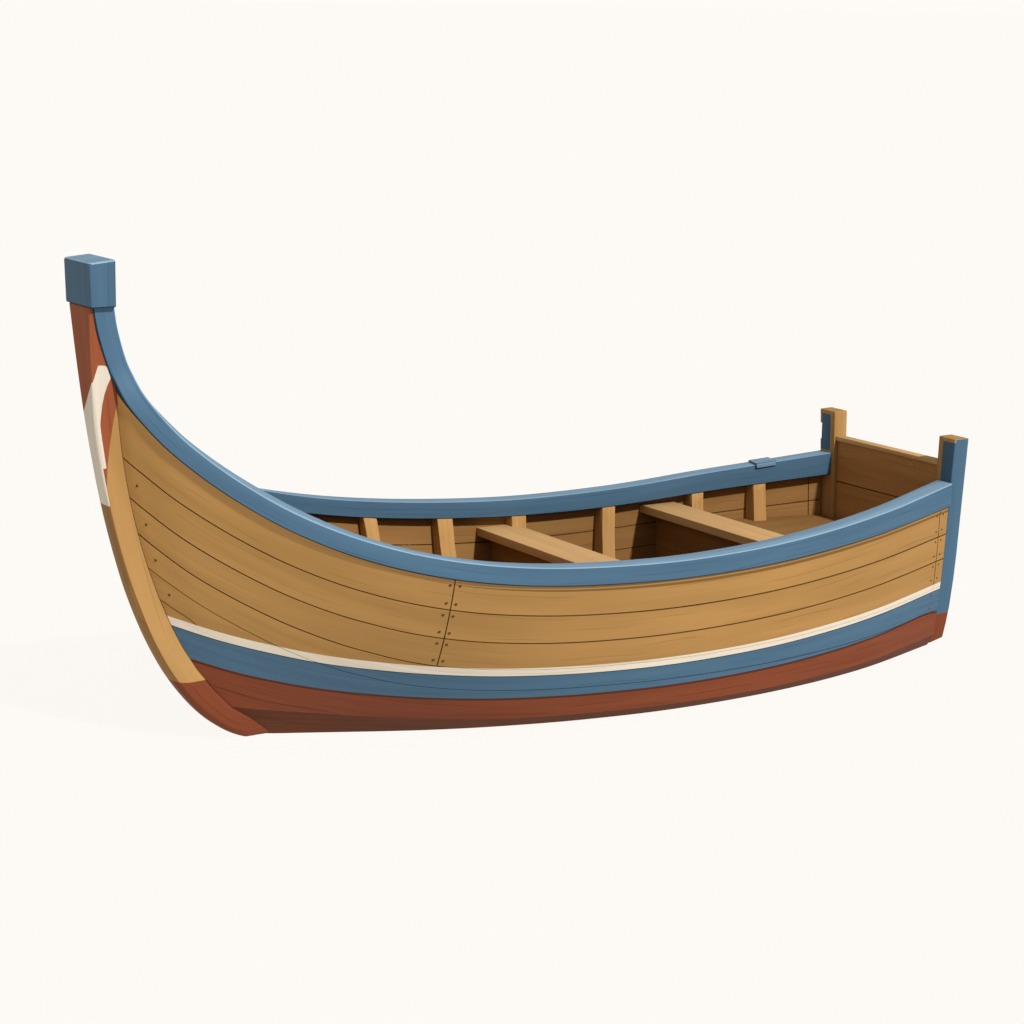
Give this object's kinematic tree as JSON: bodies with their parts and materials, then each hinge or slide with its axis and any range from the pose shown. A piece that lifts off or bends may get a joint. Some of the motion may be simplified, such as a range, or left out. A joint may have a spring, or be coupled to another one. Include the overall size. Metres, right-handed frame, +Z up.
{
  "type": "small open wooden coble",
  "caption": "Open planked wooden fishing boat with a tall curved stem, square stern between two posts, blue rail, seats and frames inside.",
  "frame": {"origin": "on the floor under the middle of the length, on the boat's centreline", "axes": "+X towards the bow, +Y to port, +Z up"},
  "size_m": [4.8115, 1.7856, 2.2716],
  "materials": {
    "rail_paint": "matt blue oil paint on timber",
    "head_paint": "matt blue oil paint on a timber block",
    "stem_timber": "oiled timber with rust red and white paint above and red below",
    "post_timber": "oiled timber with blue painted faces and a red foot",
    "planking": "oiled planks with a white line, a blue band and red paint below",
    "bottom_paint": "matt red bottom paint on timber",
    "frame_timber": "bare timber",
    "seat_timber": "bare timber",
    "inside_timber": "bare timber, darkened inside the boat"
  },
  "bodies": {
    "root": {"bilge_strake_port": "bottom_paint", "bilge_strake_starboard": "bottom_paint", "bottom_plank_middle": "bottom_paint", "bottom_plank_port": "bottom_paint", "bottom_plank_starboard": "bottom_paint", "breasthook": "seat_timber", "floorboard_1": "inside_timber", "floorboard_2": "inside_timber", "floorboard_3": "inside_timber", "frame_1": "frame_timber", "frame_2": "frame_timber", "frame_3": "frame_timber", "frame_4": "frame_timber", "frame_5": "frame_timber", "frame_6": "frame_timber", "frame_7": "frame_timber", "gunwale_port": "rail_paint", "gunwale_starboard": "rail_paint", "panel_1": "inside_timber", "panel_2": "inside_timber", "rail_patch": "seat_timber", "platform_beam": "inside_timber", "platform_board_middle": "inside_timber", "platform_board_port": "inside_timber", "platform_board_starboard": "inside_timber", "stem": "stem_timber", "stem_head": "head_paint", "stern_post_port": "post_timber", "stern_post_starboard": "post_timber", "strake_1_port": "planking", "strake_1_starboard": "planking", "strake_2_port": "planking", "strake_2_starboard": "planking", "strake_3_port": "planking", "strake_3_starboard": "planking", "strake_4_port": "planking", "strake_4_starboard": "planking", "strake_5_port": "planking", "strake_5_starboard": "planking", "thwart_1": "seat_timber", "thwart_2": "seat_timber", "transom_board_1": "inside_timber", "transom_board_2": "inside_timber", "transom_board_3": "inside_timber", "transom_cap": "seat_timber"}
  },
  "joints": []
}
